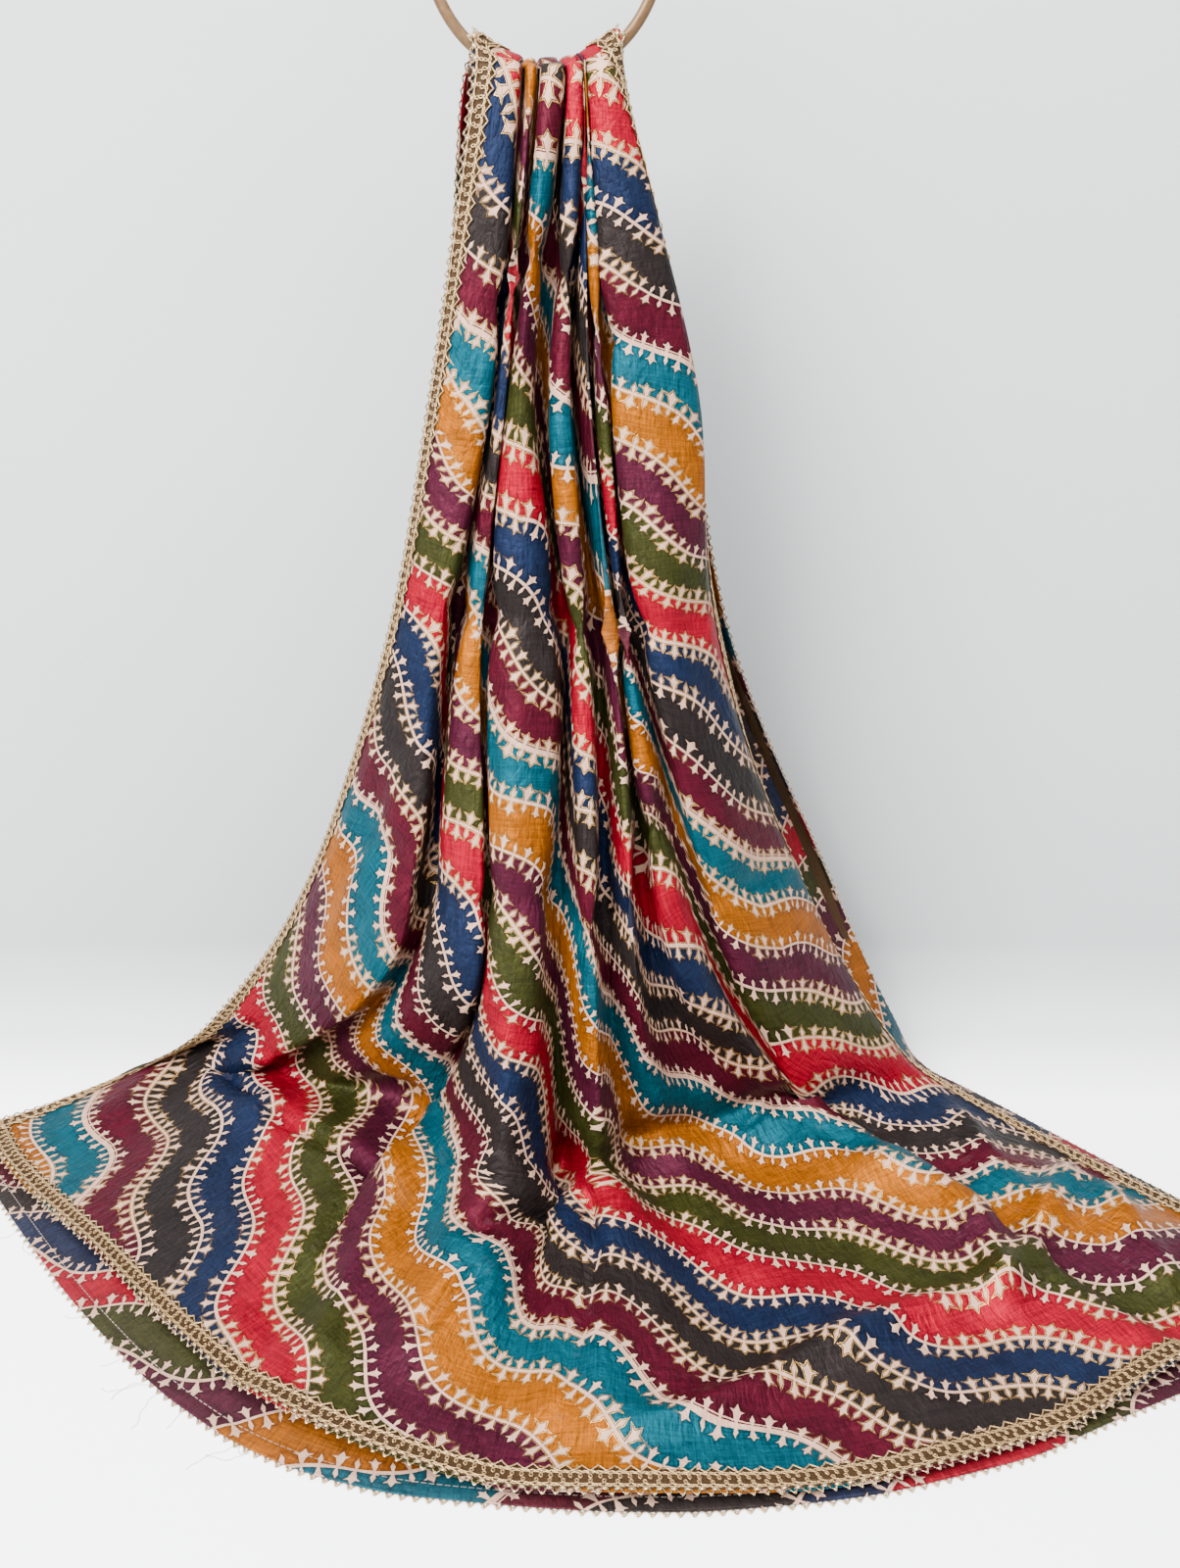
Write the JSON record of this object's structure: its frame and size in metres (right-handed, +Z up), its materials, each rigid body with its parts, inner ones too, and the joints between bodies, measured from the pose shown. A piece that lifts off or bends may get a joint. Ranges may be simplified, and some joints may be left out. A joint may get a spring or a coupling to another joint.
{
  "type": "chinon dupatta on display hoop",
  "caption": "Long printed chinon silk scarf with gold border lace, pulled through a plain hoop so that it falls in pleats and fans out on the floor",
  "frame": {"origin": "the floor point under the middle of the part's box", "axes": "Z is up. The front of the drape faces -Y, and X runs across it, to the right as seen from the front"},
  "size_m": [1.1112, 0.5313, 0.9911],
  "materials": {
    "printed_chinon": "soft silk sheen, printed wavy stripes in eight colours with cream vines",
    "gold_lace": "metallic gold thread, looped and braided",
    "hoop_metal": "satin, tan"
  },
  "bodies": {
    "root": {"dupatta_cloth": "printed_chinon", "lace_left_edge": "gold_lace", "lace_right_edge": "gold_lace", "lace_front_hem": "gold_lace", "lace_back_hem": "gold_lace", "display_hoop": "hoop_metal"}
  },
  "joints": []
}
